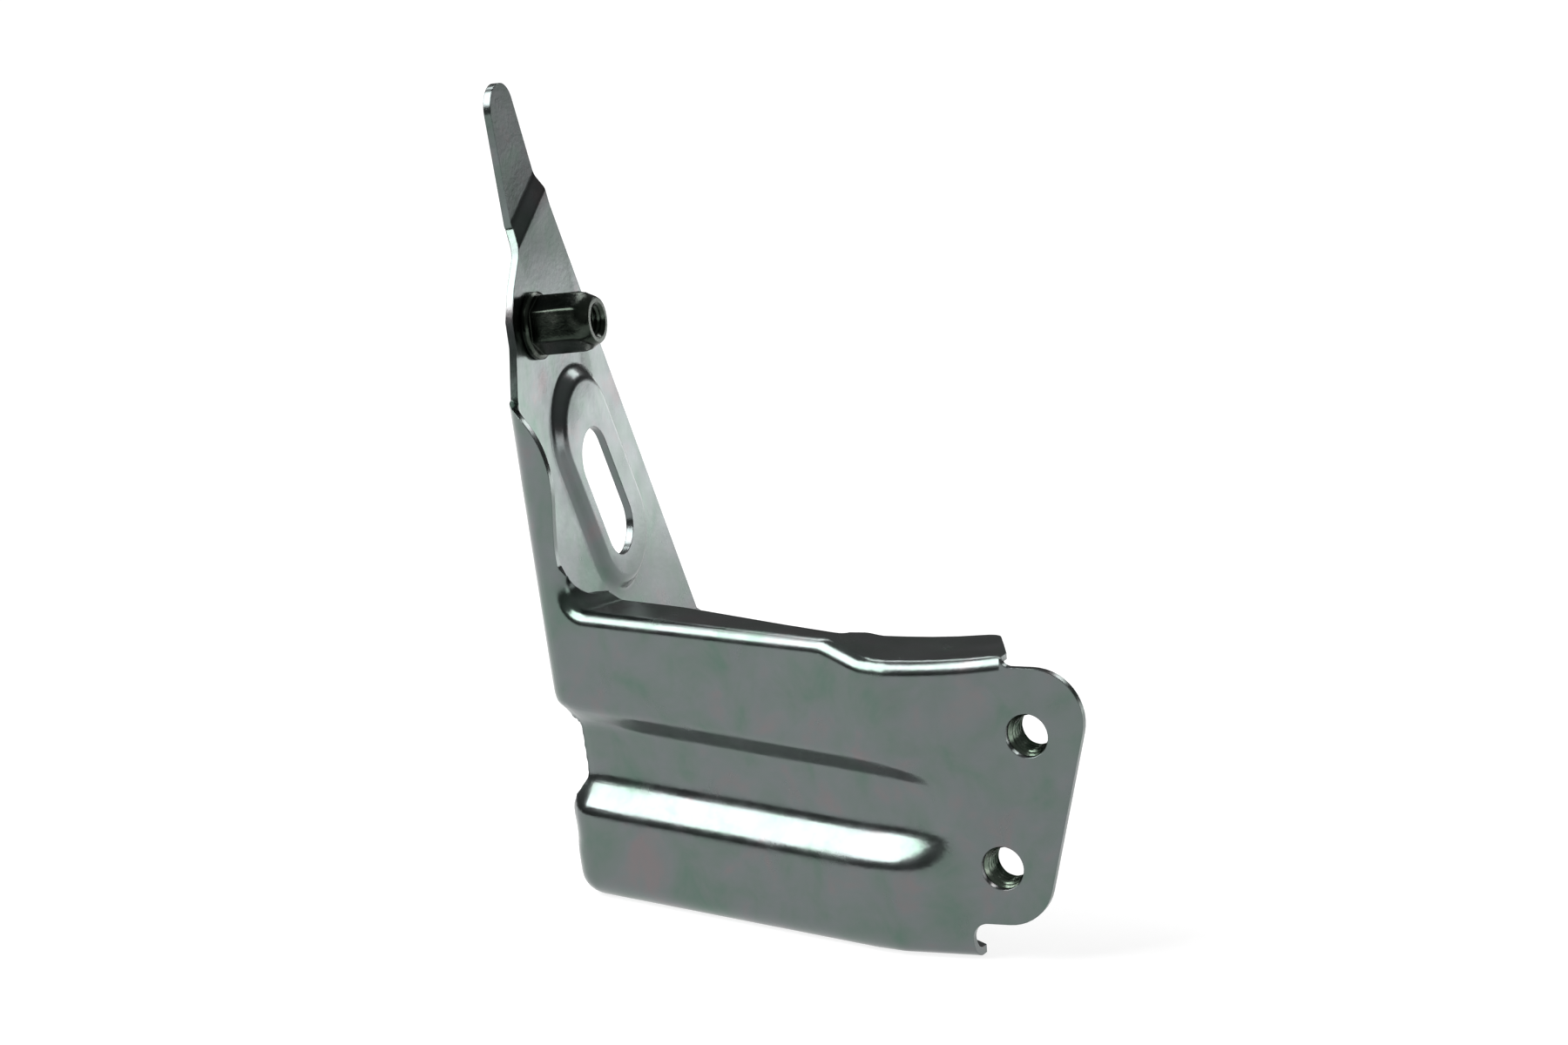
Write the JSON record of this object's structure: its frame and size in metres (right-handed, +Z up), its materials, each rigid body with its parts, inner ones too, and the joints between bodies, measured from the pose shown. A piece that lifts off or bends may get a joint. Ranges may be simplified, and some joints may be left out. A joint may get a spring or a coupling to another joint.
{
  "type": "fender bracket",
  "caption": "Pressed sheet-steel fender bracket: a swaged front wall with a bolting tab, and a tall, slotted and joggled arm that carries a clinched nut.",
  "frame": {"origin": "on the front (bolting) face of the tab, midway between its bolt holes", "axes": "+X along the tab, away from the arm; +Y away from the bolting face, towards the rear of the part; +Z up, towards the arm's tip"},
  "size_m": [0.1322, 0.1143, 0.1515],
  "materials": {
    "zinc_plated_sheet": "bright zinc plating over pressed steel",
    "dark_nut": "dark passivated steel"
  },
  "bodies": {
    "root": {"bracket_stamping": "zinc_plated_sheet", "arm_nut": "dark_nut", "tab_nut_upper": "dark_nut", "tab_nut_lower": "dark_nut"}
  },
  "joints": []
}
